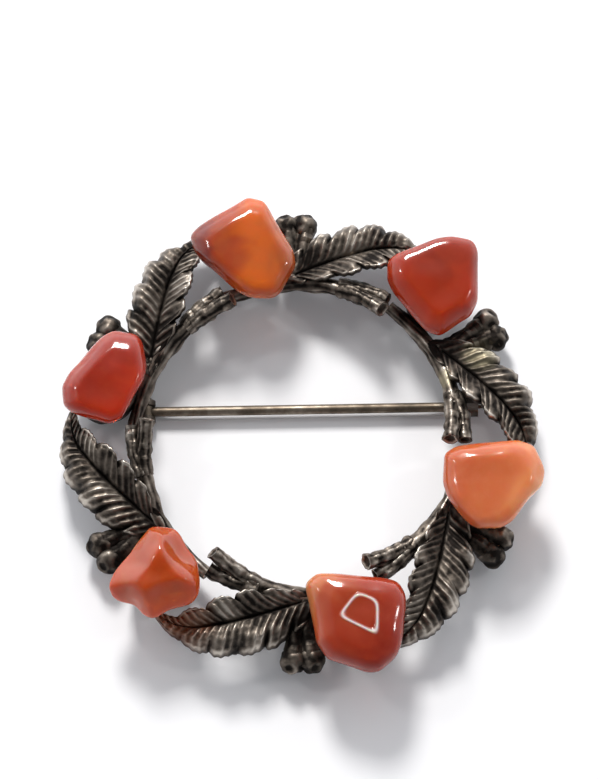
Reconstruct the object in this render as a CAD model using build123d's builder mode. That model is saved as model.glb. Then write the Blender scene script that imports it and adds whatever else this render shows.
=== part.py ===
from build123d import *
import math
import os
import numpy as np

# A wreath brooch: six cast twigs in a ring, each with a leaf, a pair of berries and a tumbled stone,
# and a hinged pin across the back. Millimetres. The face looks along +Z and the back rests on z = 0.
# The origin is at the centre of the ring. Looking at the face, +X points to the right and +Y up.

# Driving dimensions of the ring
sector_count = 6
ring_radius = 20.2
back_height = 1.9

# Branch and its two cut ends
branch_diameter = 1.7
twig_diameter = 1.5
bark_depth = 0.1

# Leaf
leaf_width = 6.6
leaf_thickness = 1.0
leaf_arch = 1.2
inner_rise = 1.8
outer_rise = 0.7
inner_curl = 0.3
outer_curl = 1.7
lobe_depth = 0.6
lobe_lean = 1.5
lobe_roundness = 0.5
vein_height = 0.16
lobe_count = 6
vein_count = 12

# Berries
berry_diameter = 2.3
berry_spacing = 2.0
berry_reach = 2.5
berry_height = 2.15
stem_diameter = 1.7

# Stones and the pads that they are glued to, whose radius is a share of the ring's
pad_share = 0.1634
pad_thickness = 1.9
stone_reach = 6.0
stone_height = 4.2
glue_gap = 0.06

# Pin, hinge and catch, which lie in from the middle line of the ring
pin_diameter = 1.0
pin_tip_diameter = 0.24
pin_taper_length = 4.0
pin_line_offset = 3.6
hinge_inset = 4.7
catch_inset = 3.2
pin_overrun = 1.0
rivet_diameter = 0.7
rivet_clearance = 0.04
rivet_head = 0.22
eye_width = 1.0
eye_wall = 0.38
side_clearance = 0.06
ear_thickness = 0.6
catch_length = 2.4
catch_wall = 0.4
catch_clearance = 0.12
solder_depth = 0.9

# Worked out from the driving dimensions
sector_angle = 360 / sector_count
stone_angle = -sector_angle / 4
branch_level = back_height + branch_diameter / 2
pad_radius = ring_radius * pad_share
pad_top = back_height + pad_thickness
leaf_level = back_height + branch_diameter
catch_bore = pin_diameter / 2 + catch_clearance
hinge_level = catch_bore + catch_wall
hinge_reach = ring_radius - hinge_inset
catch_reach = ring_radius - catch_inset
eye_radius = rivet_diameter / 2 + rivet_clearance + eye_wall
ear_offset = eye_width / 2 + side_clearance
ear_top = back_height + solder_depth
catch_top = leaf_level + solder_depth
pin_tip_reach = catch_reach + catch_length / 2 + pin_overrun

# Route of the branch and of its two ends: angle past the berries as a share of the sector,
# radius as a share of the ring's, height of the middle as a share of branch_level, thickness share
BRANCH_ROUTE = (
    (-0.43, 0.826, 1.00, 0.80),
    (-0.24, 0.814, 0.93, 0.95),
    (0.00, 0.810, 1.18, 1.05),
    (0.20, 0.797, 1.48, 1.10),
    (0.34, 0.785, 1.75, 0.90),
)
INNER_TWIG_ROUTE = (
    (0.26, 0.785, 1.62, 1.00),
    (0.38, 0.772, 1.85, 1.00),
    (0.49, 0.760, 2.12, 0.95),
    (0.58, 0.752, 2.38, 1.00),
)
OUTER_TWIG_ROUTE = (
    (0.26, 0.805, 1.62, 1.00),
    (0.39, 0.818, 1.72, 0.95),
    (0.50, 0.822, 1.78, 0.95),
    (0.56, 0.824, 1.84, 1.00),
)

# The leaf's two ends: angle past the berries as a share of the sector and radius share
LEAF_BASE = (-0.10, 0.815)
LEAF_TIP = (0.69, 1.135)

# Stations along the leaf: share of its length, sideways bow of the midrib as a share of the length,
# outer and inner breadth as shares of leaf_width, lift of the midrib as a share of leaf_arch,
# fold of the two halves as a share of inner_rise and outer_rise, and share of the two curls
LEAF_STATIONS = (
    (0.00, 0.000, 0.18, 0.06, 0.15, 0.00, 0.10),
    (0.10, 0.036, 0.38, 0.18, 0.30, 0.20, 0.35),
    (0.24, 0.075, 0.53, 0.29, 0.62, 0.60, 0.70),
    (0.42, 0.120, 0.54, 0.39, 0.92, 0.95, 0.95),
    (0.60, 0.150, 0.48, 0.37, 0.95, 0.90, 1.00),
    (0.76, 0.150, 0.32, 0.28, 0.45, 0.40, 0.90),
    (0.89, 0.100, 0.17, 0.12, -0.15, 0.10, 0.50),
    (1.00, 0.000, 0.03, 0.03, -0.60, 0.00, 0.10),
)

# Across each half of the leaf: share of the breadth from the midrib, share of the inner half's rise,
# of the outer half's rise, of the edge's curl and of the vein's height
LEAF_RIBS = (
    (0.00, 0.00, 0.00, 0.00, 0.0),
    (0.38, 0.50, 0.80, 0.00, 1.0),
    (0.74, 0.92, 1.00, 0.20, 1.0),
    (1.00, 1.00, 0.60, 1.00, 0.3),
)

# Slant of the veins on the outer and the inner half, and how soon the notches deepen from a narrow end
OUTER_SWEEP = 0.80
INNER_SWEEP = 0.66
NOTCH_GROWTH = 3

# Corners of each stone's outline before rounding, across and up from the middle of its pad,
# as shares of stone_reach
STONE_CORNERS = (
    ((0.27, 1.05), (-0.97, 0.28), (-0.87, -0.15), (0.03, -0.97), (0.58, -0.98), (0.97, -0.28)),
    ((0.17, 1.00), (-0.86, 0.60), (-0.87, 0.12), (-0.10, -0.90), (0.68, -0.42), (0.72, 0.83)),
    ((-0.88, 0.58), (-0.90, -0.20), (-0.43, -0.90), (0.15, -0.87), (0.92, 0.00), (0.65, 0.68)),
    ((-0.93, 0.85), (-0.65, -0.62), (0.30, -0.99), (0.75, -0.62), (0.88, 0.35), (0.72, 0.70)),
    ((-0.03, 0.82), (-0.65, 0.08), (-0.90, -0.60), (-0.17, -0.88), (0.70, -0.50), (0.73, 0.15), (0.38, 0.65)),
    ((0.10, 0.98), (-0.73, 0.02), (-0.68, -0.48), (0.25, -0.82), (0.77, 0.17), (0.65, 0.87)),
)

# Stem of the berries: share of the way out from its foot and breadth share, and the foot's radius share
STEM_ROWS = ((0.0, 1.5), (0.45, 1.0), (0.75, 1.05), (1.0, 1.5))
STEM_FOOT = 0.83

# Share of each side that goes with a corner when the outlines of the stones are rounded
CORNER_CUT = 0.2

# For each stone: height share, size of the top facet as a share of the outline, and its shift
# across and up as shares of stone_reach
STONE_TOPS = (
    (1.04, 0.70, 0.06, -0.12),
    (0.96, 0.72, 0.06, 0.10),
    (1.00, 0.66, 0.02, -0.10),
    (1.04, 0.60, 0.10, -0.04),
    (1.16, 0.22, 0.02, 0.14),
    (0.98, 0.70, 0.08, -0.12),
)

# Sides of a tumbled stone from its base up: height share, outline share, share of the top's shift
STONE_SIDES = (
    (0.00, 0.48, 0.0),
    (0.14, 0.68, 0.0),
    (0.32, 0.87, 0.0),
    (0.52, 1.00, 0.0),
    (0.74, 0.96, 0.3),
)


def polar_point(angle, radius, height):
    """Point at an angle clockwise from +Y, the line through the first pair of berries."""
    turn = math.radians(angle)
    return Vector(radius * math.sin(turn), radius * math.cos(turn), height)


def smooth_value(stations, column, at):
    """Value of a table's column at a place along its first column, on a smooth curve."""
    places = [row[0] for row in stations]
    values = [row[column] for row in stations]
    slopes = np.gradient(values, places)
    last = len(places) - 2
    index = min(int(np.searchsorted(places, at, side="right")) - 1, last)
    span = places[index + 1] - places[index]
    share = (at - places[index]) / span
    start = values[index] * (1 + 2 * share) * (1 - share) ** 2
    end = values[index + 1] * share**2 * (3 - 2 * share)
    bend = span * share * (1 - share) * (slopes[index] * (1 - share) - slopes[index + 1] * share)
    return float(start + end + bend)


def triangle(first, second, third):
    """Flat face through three points."""
    return Face(Wire.make_polygon([first, second, third]))


def faceted_solid(rings):
    """Closed solid of flat triangles that runs through rings of equally many points."""
    faces = []
    for lower, upper in zip(rings, rings[1:]):
        for index, point in enumerate(lower):
            after = (index + 1) % len(lower)
            faces.append(triangle(point, lower[after], upper[after]))
            faces.append(triangle(point, upper[after], upper[index]))
    for ring in (rings[0], rings[-1]):
        middle = sum(ring, Vector(0, 0, 0)) / len(ring)
        for index, point in enumerate(ring):
            faces.append(triangle(point, ring[(index + 1) % len(ring)], middle))
    return Solid(Shell(faces))


def twig_solid(route, diameter, sides=10):
    """Grooved round twig along a table of the route, in the first sector."""
    points = []
    for angle_share, radius_share, height_share, _ in route:
        height = branch_level * height_share
        points.append(polar_point(angle_share * sector_angle, ring_radius * radius_share, height))
    rings = []
    for index, (point, row) in enumerate(zip(points, route)):
        ahead = points[min(index + 1, len(points) - 1)]
        behind = points[max(index - 1, 0)]
        section = Plane(origin=point, x_dir=(0, 0, 1), z_dir=ahead - behind)
        ring = []
        for side in range(sides):
            groove = bark_depth * (side % 2)
            reach = diameter / 2 * row[3] - groove
            turn = 2 * math.pi * side / sides
            ring.append(section.from_local_coords(Vector(reach * math.cos(turn), reach * math.sin(turn))))
        rings.append(ring)
    return faceted_solid(rings)


def ball_solid(centre, diameter, sides=10, levels=6):
    """Faceted round berry."""
    rings = []
    for level in range(levels):
        tilt = math.pi * (level + 0.5) / levels
        reach = diameter / 2 * math.sin(tilt)
        height = -diameter / 2 * math.cos(tilt)
        ring = []
        for side in range(sides):
            turn = 2 * math.pi * side / sides
            ring.append(centre + Vector(reach * math.cos(turn), reach * math.sin(turn), height))
        rings.append(ring)
    return faceted_solid(rings)


def lobe_share(along):
    """Breadth left at a place along the leaf, from 0 in a notch to 1 on a lobe that leans forward."""
    place = (along * lobe_count) % 1.0
    return math.sin(math.pi * place**lobe_lean) ** lobe_roundness


def leaf_point(along, rib, side, vein, base, tip):
    """Top point of the leaf on one vein, at one rib of the inner (-1) or outer (+1) half."""
    share, inner_share, outer_share, curl_share, vein_share = rib
    sweep = OUTER_SWEEP if side > 0 else INNER_SWEEP
    rise = outer_rise * outer_share if side > 0 else inner_rise * inner_share
    curl = outer_curl * curl_share if side > 0 else inner_curl * curl_share
    edge_along = along**sweep
    length = (tip - base).length
    forward = (tip - base).normalized()
    outward = Vector(-forward.Y, forward.X, 0)
    breadth = leaf_width * smooth_value(LEAF_STATIONS, 2 if side > 0 else 3, edge_along)
    fade = min(1.0, NOTCH_GROWTH * breadth / leaf_width)
    notch = lobe_depth * (1 - lobe_share(edge_along)) * fade
    middle = base + forward * (length * along) + outward * (length * smooth_value(LEAF_STATIONS, 1, along))
    edge_bow = length * smooth_value(LEAF_STATIONS, 1, edge_along)
    edge = base + forward * (length * edge_along) + outward * (edge_bow + side * (breadth - notch))
    place = middle + (edge - middle) * share
    here = along + (edge_along - along) * share
    lift = leaf_arch * smooth_value(LEAF_STATIONS, 4, here)
    fold = rise * smooth_value(LEAF_STATIONS, 5, here)
    drop = curl * smooth_value(LEAF_STATIONS, 6, here)
    bump = vein_height * vein_share * vein * (1 - along)
    return Vector(place.X, place.Y, leaf_level + lift + fold - drop + bump)


def leaf_solid():
    """Veined leaf of the first sector, from its base on the branch to its tip."""
    base = polar_point(LEAF_BASE[0] * sector_angle, LEAF_BASE[1] * ring_radius, 0)
    tip = polar_point(LEAF_TIP[0] * sector_angle, LEAF_TIP[1] * ring_radius, 0)
    rings = []
    for step in range(2 * vein_count + 1):
        along = step / (2 * vein_count)
        vein = 1 - 2 * ((step + 1) % 2)
        outer = [leaf_point(along, rib, 1, vein, base, tip) for rib in LEAF_RIBS]
        inner = [leaf_point(along, rib, -1, vein, base, tip) for rib in LEAF_RIBS[1:]]
        under = []
        for point in (inner[-1], outer[0], outer[-1]):
            under.append(Vector(point.X, point.Y, point.Z - leaf_thickness))
        rings.append(outer[::-1] + inner + under)
    return faceted_solid(rings)


def berry_pair():
    """Two berries of the first sector on their forked stem."""
    reach = ring_radius + berry_reach
    rings = []
    for share, breadth_share in STEM_ROWS:
        radius = ring_radius * STEM_FOOT + (reach - ring_radius * STEM_FOOT) * share
        breadth = stem_diameter / 2 * breadth_share
        level = branch_level + (berry_height - branch_level) * share
        low = level - stem_diameter / 2
        shoulder = level + stem_diameter / 4
        rings.append([
            Vector(-breadth, radius, low),
            Vector(breadth, radius, low),
            Vector(breadth, radius, shoulder),
            Vector(0, radius, level + stem_diameter / 2),
            Vector(-breadth, radius, shoulder),
        ])
    solids = [faceted_solid(rings)]
    for side in (-1, 1):
        centre = Vector(side * berry_spacing / 2, reach, berry_height)
        solids.append(ball_solid(centre, berry_diameter))
    return solids


def rounded_outline(corners, passes=2):
    """Outline with each corner cut off across its two sides, twice over."""
    for _ in range(passes):
        cut = []
        for corner, after in zip(corners, corners[1:] + corners[:1]):
            cut.append(corner * (1 - CORNER_CUT) + after * CORNER_CUT)
            cut.append(corner * CORNER_CUT + after * (1 - CORNER_CUT))
        corners = cut
    return corners


def stone_solid(index):
    """Tumbled stone of one sector: a rounded outline that swells up to its girdle and a flat top."""
    height_share, top_share, shift_across, shift_up = STONE_TOPS[index]
    seat = polar_point(stone_angle + index * sector_angle, ring_radius, pad_top + glue_gap)
    outline = rounded_outline([Vector(across, up, 0) * stone_reach for across, up in STONE_CORNERS[index]])
    shift = Vector(shift_across, shift_up, 0) * stone_reach
    rings = []
    for level, breadth, moved in STONE_SIDES + ((1.0, top_share, 1.0),):
        middle = seat + shift * moved + Vector(0, 0, stone_height * height_share * level)
        rings.append([middle + point * breadth for point in outline])
    return faceted_solid(rings)


# One unit of the ring: branch, twigs, leaf, berries and the pad of the stone beside them
with BuildPart() as unit:
    stone_place = polar_point(stone_angle, ring_radius, pad_top)
    with BuildSketch(Plane(origin=stone_place, z_dir=(0, 0, 1))):
        RegularPolygon(radius=pad_radius, side_count=12)
    extrude(amount=-pad_thickness)
    grown = [leaf_solid(), *berry_pair()]
    grown.append(twig_solid(BRANCH_ROUTE, branch_diameter))
    grown.append(twig_solid(INNER_TWIG_ROUTE, twig_diameter))
    grown.append(twig_solid(OUTER_TWIG_ROUTE, twig_diameter))
    add(grown, clean=False)

# Planes of the hinge and of the catch: both stand on the pin's line at the hinge's height
pin_line = Plane(origin=(0, pin_line_offset, hinge_level), x_dir=(1, 0, 0), z_dir=(0, -1, 0))
catch_face = Plane(
    origin=(catch_reach - catch_length / 2, pin_line_offset, hinge_level), x_dir=(0, 1, 0), z_dir=(1, 0, 0)
)

# The two hinge ears, bored for the rivet
with BuildPart() as ears:
    for side in (-1, 1):
        middle = ear_offset + ear_thickness / 2
        with BuildSketch(pin_line.offset(side * middle)):
            with Locations((-hinge_reach, 0)):
                Circle(hinge_level)
                Rectangle(hinge_level, ear_top - hinge_level, align=(Align.MAX, Align.MIN))
                Circle(rivet_diameter / 2 + rivet_clearance, mode=Mode.SUBTRACT)
        extrude(amount=ear_thickness / 2, both=True)

# The plain catch: a short tube on a post, with a mouth on its lower side that the pin drops into
with BuildPart() as catch:
    with BuildSketch(catch_face):
        Circle(catch_bore + catch_wall)
        Rectangle(2 * catch_bore, catch_top - hinge_level, align=(Align.CENTER, Align.MIN))
        Circle(catch_bore, mode=Mode.SUBTRACT)
        mouth_width = pin_diameter + catch_clearance
        Rectangle(mouth_width, 2 * hinge_level, align=(Align.CENTER, Align.MAX), mode=Mode.SUBTRACT)
    extrude(amount=catch_length)

# The whole casting
with BuildPart() as wreath:
    turned = [unit.part.rotate(Axis.Z, -sector_angle * index) for index in range(sector_count)]
    add(turned + [ears.part, catch.part], clean=False)

# Rivet of the hinge, with a low head outside each ear
with BuildPart() as hinge_rivet:
    with BuildSketch(pin_line) as shank_section:
        with Locations((-hinge_reach, 0)):
            Circle(rivet_diameter / 2)
    extrude(amount=ear_offset + ear_thickness + side_clearance, both=True)
    for side in (-1, 1):
        start = ear_offset + ear_thickness + side_clearance / 2
        with BuildSketch(pin_line.offset(side * start)):
            with Locations((-hinge_reach, 0)):
                Circle(rivet_diameter / 2 + rivet_clearance + rivet_head)
        extrude(amount=side * rivet_head)

# Pin with its eye and its tapered point
with BuildPart() as pin_stem:
    with BuildSketch(pin_line):
        with BuildLine():
            Polyline(
                (-hinge_reach, 0),
                (-hinge_reach, pin_diameter / 2),
                (pin_tip_reach - pin_taper_length, pin_diameter / 2),
                (pin_tip_reach, pin_tip_diameter / 2),
                (pin_tip_reach, 0),
                close=True,
            )
        make_face()
    revolve(axis=Axis(pin_line.origin, (1, 0, 0)))
    with BuildSketch(pin_line):
        with Locations((-hinge_reach, 0)):
            Circle(eye_radius)
    extrude(amount=eye_width / 2, both=True)
    with BuildSketch(pin_line):
        with Locations((-hinge_reach, 0)):
            Circle(rivet_diameter / 2 + rivet_clearance)
    extrude(amount=eye_width, both=True, mode=Mode.SUBTRACT)

os.makedirs("parts", exist_ok=True)
pieces = {"wreath": wreath.part, "hinge_rivet": hinge_rivet.part, "pin_stem": pin_stem.part}
for number in range(sector_count):
    with BuildPart() as stone:
        add(stone_solid(number), clean=False)
    pieces[f"stone_{number + 1}"] = stone.part

for name, piece in pieces.items():
    piece.label = name
    export_step(piece, f"parts/{name}.step")
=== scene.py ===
import math

import bmesh
import bpy
import numpy as np
from mathutils import Matrix, Vector, noise
from mathutils.bvhtree import BVHTree


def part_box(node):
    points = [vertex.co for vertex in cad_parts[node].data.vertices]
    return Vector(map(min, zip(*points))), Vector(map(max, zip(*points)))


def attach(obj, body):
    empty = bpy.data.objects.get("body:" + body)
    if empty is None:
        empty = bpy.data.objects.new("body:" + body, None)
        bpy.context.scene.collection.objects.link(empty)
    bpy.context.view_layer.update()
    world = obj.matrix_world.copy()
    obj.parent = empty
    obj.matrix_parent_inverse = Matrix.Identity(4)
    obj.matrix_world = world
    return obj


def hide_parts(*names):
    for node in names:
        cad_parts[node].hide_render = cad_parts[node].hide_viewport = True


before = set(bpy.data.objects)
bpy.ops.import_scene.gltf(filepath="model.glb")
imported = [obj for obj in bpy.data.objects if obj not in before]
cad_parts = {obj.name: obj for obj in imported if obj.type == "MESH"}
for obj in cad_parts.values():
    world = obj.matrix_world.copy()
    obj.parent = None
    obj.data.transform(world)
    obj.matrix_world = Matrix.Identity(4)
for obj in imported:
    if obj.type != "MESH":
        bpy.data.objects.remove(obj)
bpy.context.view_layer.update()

MM = 0.001

# Sizes in millimetres and angles in degrees. The berries, their stems and the cut twig ends are a
# little fuller than the solids that they stand for.
MERGE_GAP = 0.0005
SECTORS = 6
SECTOR_ANGLE = 360 / SECTORS
STONE_ANGLE = -SECTOR_ANGLE / 4
RING_RADIUS = 20.2
BRANCH_DIAMETER = 1.7
TWIG_DIAMETER = 1.7
BRANCH_LEVEL = 2.75
LEAF_LEVEL = 3.6
LEAF_WIDTH = 6.6
LEAF_THICKNESS = 0.95
LEAF_ARCH = 1.2
INNER_RISE = 1.8
OUTER_RISE = 0.7
INNER_CURL = 0.3
OUTER_CURL = 1.7
LOBE_DEPTH = 0.6
LOBE_COUNT = 6
LOBE_LEAN = 1.5
LOBE_ROUNDNESS = 0.5
OUTER_SWEEP = 0.80
INNER_SWEEP = 0.66
BERRY_RADIUS = 1.42
BERRY_SPACING = 1.9
BERRY_REACH = 2.5
BERRY_HEIGHT = 2.15
STEM_FOOT = 0.83
STEM_DIAMETER = 2.2
PAD_RADIUS = 3.3
PAD_TOP = 3.8
PAD_THICKNESS = 1.9
STONE_SEAT = 3.86
STONE_REACH = 6.0
STONE_HEIGHT = 4.2
GIRDLE_SHARE = 0.52
CORNER_CUT = 0.15

# Pin, hinge and catch
PIN_LINE = 3.6
HINGE_LEVEL = 1.02
HINGE_REACH = 15.5
CATCH_REACH = 17.0
CATCH_LENGTH = 2.4
CATCH_BORE = 0.62
CATCH_WALL = 0.4
CATCH_TOP = 4.5
MOUTH_WIDTH = 1.12
EAR_TOP = 2.8
EAR_THICKNESS = 0.6
EAR_OFFSET = 0.56
EYE_RADIUS = 0.77
EYE_BORE = 0.39
EYE_WIDTH = 1.0
PIN_RADIUS = 0.5
PIN_TIP_RADIUS = 0.12
PIN_TAPER = 4.0
PIN_END = 19.2
PIN_STEPS = 60
EYE_GAP = 0.05
EAR_ROUNDING = 0.08
ROUND_SIDES = 48
CATCH_STEPS = 40
EAR_POST_TRIM = 0.98
CATCH_POST_TRIM = 0.96
FITTING_WEAR = 0.3
EYE_WEAR = 0.4

# Drawing marks on the pin's wire: waves around it and along it, and the even and marked wear
WIRE_WAVES = (9, 5)
WIRE_WEAR = (0.42, 0.10)

# Relief of the leaves, finer than on the casting's faceted solids
VEIN_COUNT = 21
VEIN_HEIGHT = 0.22
VEIN_SHARPNESS = 1.7
VEIN_WAVER = 0.45
VEIN_EVEN = 0.72
VEIN_UNEVEN = 0.75
VEIN_FAINTEST = 0.15
RIM_HEIGHT = 0.20
RIM_IN_NOTCH = 0.4
LOBE_SWELL = 0.34
NOTCH_CREASE = 0.30
TOOTH_DEPTH = 0.12
MIDRIB_GROOVE = 0.16
RAGGED_SHIFT = 0.035
LOBE_FADE = 3
BREADTH_TRIM = 0.985
BREADTH_VARIATION = 0.05
UNEVEN_HEIGHT = 0.22
DENT_HEIGHT = 0.07
LEAF_STEPS = 150
LEAF_RIB_STEPS = 52

# Stretches over which a form on the leaf rises and falls, as shares along it or from the midrib,
# and how far the rim drops again at the edge
LEAF_ENDS = ((0.0, 0.08), (0.90, 1.0))
VEIN_FIELD = ((0.04, 0.16), (0.84, 0.95))
RIM_FIELD = ((0.84, 0.93), (0.96, 1.0))
RIM_DROP = 0.6
CREASE_FIELD = ((0.55, 1.0), (0.0, 0.75))
SWELL_RISE = (0.35, 0.85)
SWELL_REACH = (0.3, 0.9)
GROOVE_FIELD = (0.0, 0.065)
UNEVEN_RISE = (0.0, 0.3)
FOOT_STRETCH = (0.05, 0.45)

# Noise on the leaf: waves along it and across it, step from leaf to leaf, and start
RAGGED_NOISE = (6.0, 2.0, 1.7, 0.0)
BREADTH_NOISE = (9.0, 3.0, 2.9, 0.0)
WAVER_NOISE = (3.5, 1.5, 4.3, 0.0)
STRENGTH_NOISE = (11.0, 1.2, 2.1, 5.0)

# Unevenness of the leaf: waves a millimetre, step from leaf to leaf, and start
UNEVEN_NOISE = (0.45, 17.0, 0.0)
DENT_NOISE = (1.7, 5.0, 3.0)

# Wear on the leaf: an even share, and what each form adds to it
WEAR_EVEN = 0.12
WEAR_VEIN = 0.46
WEAR_RIM = 0.62
WEAR_GROOVE = -0.14
WEAR_CREASE = -0.25
WEAR_SWELL = 0.16
WEAR_UNEVEN = 0.30
WEAR_DENT = 0.12
WEAR_FOOT = -0.16
UNDERSIDE_WEAR = 0.12
UNDERSIDE_SMOOTHING = 0.5

# Limbs: sides, grooves of the bark, how far the bark wanders, twists, swells and knots, and the
# rim of a cut end with the wear on its rim and in its heart
LIMB_SIDES = 40
BARK_GROOVES = 7
BARK_DEPTH = 0.10
BARK_SHARPNESS = 0.8
BARK_WANDER = 3.4
BARK_TWIST = 0.8
BARK_TRIM = 0.97
BARK_LUMP = 0.24
BARK_KNOT = 0.06
CUT_RIM = 0.16
CUT_RIM_WEAR = 0.75
CUT_HEART_WEAR = 0.10

# Noise on a limb: waves around it and along it, and step from limb to limb
WANDER_NOISE = (1.1, 3.0, 11.0)
LUMP_NOISE = (0.8, 8.0, 5.0)
KNOT_NOISE = (1.9, 17.0, 3.0)

# Wear on the bark: an even share, and what its ridges, lumps and knots add to it
BARK_WEAR = (0.04, 0.44, 0.34, 0.22)

# Steps of the seed between the limbs of one unit and between its two berry stems
TWIG_SEED = 0.37
STEM_SEED = 0.21

# Berries: half the spread of their stems at the foot, the stems' fullness and waist, and on each
# berry its trim, lumps, pit and the ring round the pit
STEM_STEPS = 12
STEM_SPREAD = 0.45
STEM_FULL = 1.15
STEM_WAIST = 0.9
STEM_WORN = 0.45
BERRY_FINENESS = 4
BERRY_TRIM = 0.93
BERRY_LUMP = 0.15
BERRY_LUMP_WAVES = 1.7
BERRY_LUMP_STEP = 3.1
BERRY_PIT = 0.09
BERRY_RING = 0.03
PIT_HEADING = (0.25, 0.75, 0.6)
PIT_STRETCH = (0.90, 0.985)
RING_STRETCH = (0.80, 0.90)

# Wear on a berry: an even share, and what its upper side, ring, pit and lumps add to it
BERRY_WEAR = (0.05, 0.15, 0.15, -0.2, 0.45)

# Stone pads: sides, how level an edge of the rim is, rounding, trim, size and waves of the lumps,
# and wear
PAD_SIDES = 60
PAD_LEVEL_GAP = 0.1
PAD_ROUNDING = 0.35
PAD_TRIM = 0.05
PAD_LUMP = 0.06
PAD_LUMP_WAVES = 0.6
PAD_WEAR = 0.12
PAD_LUMP_WEAR = 0.3

# Routes of the branch and of its two cut ends: angle past the berries as a share of the sector,
# radius as a share of the ring's, height as a share of BRANCH_LEVEL, thickness share
BRANCH_ROUTE = (
    (-0.43, 0.826, 1.00, 0.80),
    (-0.24, 0.814, 0.93, 0.95),
    (0.00, 0.810, 1.18, 1.05),
    (0.20, 0.797, 1.48, 1.10),
    (0.34, 0.785, 1.75, 0.90),
)
INNER_TWIG_ROUTE = (
    (0.26, 0.785, 1.62, 1.00),
    (0.38, 0.772, 1.85, 1.00),
    (0.49, 0.760, 2.12, 0.95),
    (0.58, 0.752, 2.38, 1.00),
)
OUTER_TWIG_ROUTE = (
    (0.26, 0.805, 1.62, 1.00),
    (0.39, 0.818, 1.72, 0.95),
    (0.50, 0.822, 1.78, 0.95),
    (0.56, 0.824, 1.84, 1.00),
)

# The leaf's two ends: angle past the berries as a share of the sector, and radius share
LEAF_BASE = (-0.10, 0.815)
LEAF_TIP = (0.69, 1.135)

# Stations along the leaf: share of its length, sideways bow of the midrib as a share of the length,
# outer and inner breadth as shares of LEAF_WIDTH, lift of the midrib as a share of LEAF_ARCH,
# fold of the two halves, and share of the two curls
LEAF_STATIONS = (
    (0.00, 0.000, 0.18, 0.06, 0.15, 0.00, 0.10),
    (0.10, 0.036, 0.38, 0.18, 0.30, 0.20, 0.35),
    (0.24, 0.075, 0.53, 0.29, 0.62, 0.60, 0.70),
    (0.42, 0.120, 0.54, 0.39, 0.92, 0.95, 0.95),
    (0.60, 0.150, 0.48, 0.37, 0.95, 0.90, 1.00),
    (0.76, 0.150, 0.32, 0.28, 0.45, 0.40, 0.90),
    (0.89, 0.100, 0.17, 0.12, -0.15, 0.10, 0.50),
    (1.00, 0.000, 0.03, 0.03, -0.60, 0.00, 0.10),
)

# Across each half of the leaf: share of the breadth from the midrib, share of the inner half's
# rise, of the outer half's rise and of the edge's curl
LEAF_RIBS = (
    (0.00, 0.00, 0.00, 0.00),
    (0.38, 0.50, 0.80, 0.00),
    (0.74, 0.92, 1.00, 0.20),
    (1.00, 1.00, 0.60, 1.00),
)

# Corners of each stone's outline before rounding, across and up from the middle of its pad,
# as shares of STONE_REACH
STONE_CORNERS = (
    ((0.27, 1.05), (-0.97, 0.28), (-0.87, -0.15), (0.03, -0.97), (0.58, -0.98), (0.97, -0.28)),
    ((0.17, 1.00), (-0.86, 0.60), (-0.87, 0.12), (-0.10, -0.90), (0.68, -0.42), (0.72, 0.83)),
    ((-0.88, 0.58), (-0.90, -0.20), (-0.43, -0.90), (0.15, -0.87), (0.92, 0.00), (0.65, 0.68)),
    ((-0.93, 0.85), (-0.65, -0.62), (0.30, -0.99), (0.75, -0.62), (0.88, 0.35), (0.72, 0.70)),
    ((-0.03, 0.82), (-0.65, 0.08), (-0.90, -0.60), (-0.17, -0.88), (0.70, -0.50), (0.73, 0.15),
     (0.38, 0.65)),
    ((0.10, 0.98), (-0.73, 0.02), (-0.68, -0.48), (0.25, -0.82), (0.77, 0.17), (0.65, 0.87)),
)

# For each stone: height share, size of the top facet as a share of the outline, and its shift
# across and up as shares of STONE_REACH
STONE_TOPS = (
    (1.04, 0.70, 0.06, -0.12),
    (0.96, 0.72, 0.06, 0.10),
    (1.00, 0.66, 0.02, -0.10),
    (1.04, 0.60, 0.10, -0.04),
    (1.16, 0.22, 0.02, 0.14),
    (0.98, 0.70, 0.08, -0.12),
)

# Sides of a tumbled stone from its base up: height share, outline share, share of the top's shift
STONE_SIDES = (
    (0.00, 0.48, 0.0),
    (0.14, 0.68, 0.0),
    (0.32, 0.87, 0.0),
    (0.52, 1.00, 0.0),
    (0.74, 0.97, 0.3),
    (0.90, 0.87, 0.8),
)

# Height of the lumps and hollows left on each stone, their size and their step from stone to
# stone, and the fineness and the smoothing of the sphere that is laid on the stone's hull
STONE_LUMPS = (0.18, 0.18, 0.20, 0.18, 0.70, 0.20)
LUMP_SIZE = 2.8
LUMP_STEP = 2.3
STONE_FINENESS = 6
TUMBLING_STRENGTH = 0.5
TUMBLING_PASSES = 20

# Extra flats ground on each stone: heading clockwise from +Y, tilt up from the floor, and the
# flat's distance from the middle of the stone's girdle as a share of STONE_REACH
STONE_FLATS = (
    ((-35, 42, 0.66), (75, 48, 0.70)),
    ((-140, 42, 0.64), (-20, 40, 0.80)),
    ((5, 38, 0.60), (95, 45, 0.66)),
    ((5, 40, 0.74), (-110, 50, 0.68)),
    ((-58, 50, 0.40), (65, 50, 0.46), (165, 46, 0.50), (-150, 36, 0.56), (5, 42, 0.60)),
    ((-48, 38, 0.54),),
)


def polar_point(angle, radius, height):
    """Point at an angle clockwise from +Y, the line through the first pair of berries."""
    turn = math.radians(angle)
    return Vector((radius * math.sin(turn), radius * math.cos(turn), height))


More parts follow.
